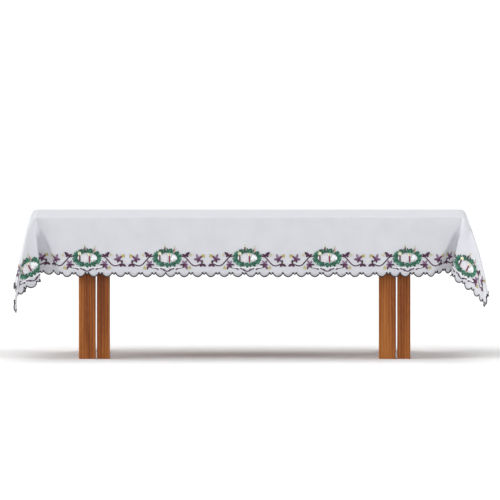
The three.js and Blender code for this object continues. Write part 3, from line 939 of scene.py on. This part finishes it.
class ALTAR_OT_timbers(bpy.types.Operator):
    """Make the table's posts and rails with rounded edges, and stain its board"""
    bl_idname = "altar.timbers"
    bl_label = "Timbers"

    def execute(self, context):
        timber = context.scene.altar_timber
        woods = [wood_material(timber, axis) for axis in range(3)]
        for name in sorted(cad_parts):
            if not name.startswith(("post_", "rail_")):
                continue
            low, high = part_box(name)
            size = high - low
            bm = bmesh.new()
            bmesh.ops.create_cube(bm, size=1.0)
            bmesh.ops.scale(bm, vec=size, verts=bm.verts[:])
            bmesh.ops.translate(bm, vec=(low + high) / 2, verts=bm.verts[:])
            bmesh.ops.bevel(bm, geom=bm.edges[:], offset=timber.edge, offset_type="OFFSET",
                            affect="EDGES", segments=3, profile=0.5, material=-1)
            axis = max(range(3), key=lambda i: size[i])
            piece = finish_piece("timber_" + name, bm, woods[axis])
            piece.data.shade_smooth()
            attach(piece, "root")
            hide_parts(name)
        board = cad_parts["table_top"]
        board.data.materials.clear()
        board.data.materials.append(woods[0])
        return {"FINISHED"}


class ALTAR_OT_stage(bpy.types.Operator):
    """Set the camera, the pale floor and the soft light"""
    bl_idname = "altar.stage"
    bl_label = "Stage"

    def execute(self, context):
        stage = context.scene.altar_stage
        bm = bmesh.new()
        bmesh.ops.create_grid(bm, x_segments=4, y_segments=4, size=FLOOR_SIZE)
        material, tree, shader = new_material("matt_white_backdrop_paper")
        coords = add_node(tree, "ShaderNodeTexCoord")
        noise = add_node(tree, "ShaderNodeTexNoise", [("Scale", 0.4)],
                         [("Vector", coords.outputs["Object"])])
        ramp = add_node(tree, "ShaderNodeValToRGB", links=[("Fac", noise.outputs["Fac"])])
        ramp.color_ramp.elements[0].color = [c * 0.995 for c in stage.floor[:3]] + [1.0]
        ramp.color_ramp.elements[1].color = stage.floor
        tree.links.new(ramp.outputs["Color"], shader.inputs["Base Color"])
        shader.inputs["Roughness"].default_value = 1.0
        shader.inputs["Specular IOR Level"].default_value = 0.0
        floor = finish_piece("studio_floor", bm, material, smooth=False)

        world = bpy.data.worlds.new("soft_light")
        world.use_nodes = True
        sky = world.node_tree.nodes["Background"]
        sky.inputs["Color"].default_value = (1.0, 1.0, 1.0, 1.0)
        # The backdrop itself is seen white, though it lights the altar only softly
        path = add_node(world.node_tree, "ShaderNodeLightPath")
        shown_white = add_node(world.node_tree, "ShaderNodeMath",
                               [("operation", "MAXIMUM"), (1, stage.sky)],
                               [(0, path.outputs["Is Camera Ray"])])
        world.node_tree.links.new(shown_white.outputs["Value"], sky.inputs["Strength"])
        context.scene.world = world
        for name, tilt, turn in LAMPS:
            lamp = bpy.data.lights.new(name + "_light", "SUN")
            lamp.energy = getattr(stage, name)
            lamp.angle = math.radians(LAMP_SPREAD)
            holder = bpy.data.objects.new(name + "_light", lamp)
            holder.rotation_euler = (math.radians(tilt), 0.0, math.radians(turn))
            context.scene.collection.objects.link(holder)

        # The view: almost level, from far in front, so that the lines stay parallel
        rise = math.radians(VIEW_RISE)
        target = Vector((TABLE_MIDDLE.x + VIEW_SIDE, TABLE_MIDDLE.y + VIEW_FRONT,
                         (VIEW_HEIGHT - VIEW_FRONT * math.sin(rise)) / math.cos(rise)))
        camera = bpy.data.cameras.new("camera")
        camera.sensor_width = SENSOR
        camera.lens = SENSOR * VIEW_AWAY / VIEW_WIDTH
        camera.clip_start, camera.clip_end = 1.0, 4 * VIEW_AWAY
        holder = bpy.data.objects.new("camera", camera)
        holder.location = target + VIEW_AWAY * Vector((0.0, -math.cos(rise), math.sin(rise)))
        holder.rotation_euler = (math.pi / 2 - rise, 0.0, 0.0)
        context.scene.collection.objects.link(holder)
        context.scene.camera = holder
        context.scene.view_settings.view_transform = "Standard"
        context.scene.view_settings.look = "None"
        return {"FINISHED"}


class ALTAR_PT_panel(bpy.types.Panel):
    """Lists the altar's pieces"""
    bl_label = "Altar"
    bl_idname = "ALTAR_PT_panel"
    bl_space_type = "VIEW_3D"
    bl_region_type = "UI"
    bl_category = "Altar"

    def draw(self, context):
        for title, group, operators in PANEL_ROWS:
            box = self.layout.box()
            box.label(text=title)
            settings = getattr(context.scene, group)
            for name in settings.bl_rna.properties.keys():
                if name not in ("rna_type", "name"):
                    box.prop(settings, name)
            for operator in operators:
                box.operator(operator)


PANEL_ROWS = (
    ("Cloth", "altar_cloth", ("altar.cloth", "altar.edging")),
    ("Border", "altar_border", ("altar.wreaths", "altar.candles", "altar.sprays")),
    ("Timbers", "altar_timber", ("altar.timbers",)),
    ("Stage", "altar_stage", ("altar.stage",)),
)
GROUPS = (
    ("altar_cloth", AltarClothSettings), ("altar_border", AltarBorderSettings),
    ("altar_timber", AltarTimberSettings), ("altar_stage", AltarStageSettings),
)
CLASSES = (
    ALTAR_OT_cloth, ALTAR_OT_edging, ALTAR_OT_wreaths, ALTAR_OT_candles, ALTAR_OT_sprays,
    ALTAR_OT_timbers, ALTAR_OT_stage, ALTAR_PT_panel,
)


def register():
    for name, group in GROUPS:
        bpy.utils.register_class(group)
        setattr(bpy.types.Scene, name, bpy.props.PointerProperty(type=group))
    for item in CLASSES:
        bpy.utils.register_class(item)


def unregister():
    for item in reversed(CLASSES):
        bpy.utils.unregister_class(item)
    for name, group in reversed(GROUPS):
        delattr(bpy.types.Scene, name)
        bpy.utils.unregister_class(group)


def main():
    register()
    bpy.ops.altar.stage()
    bpy.ops.altar.timbers()
    bpy.ops.altar.cloth()
    bpy.ops.altar.wreaths()
    bpy.ops.altar.candles()
    bpy.ops.altar.sprays()
    bpy.ops.altar.edging()


if __name__ == "__main__":
    main()
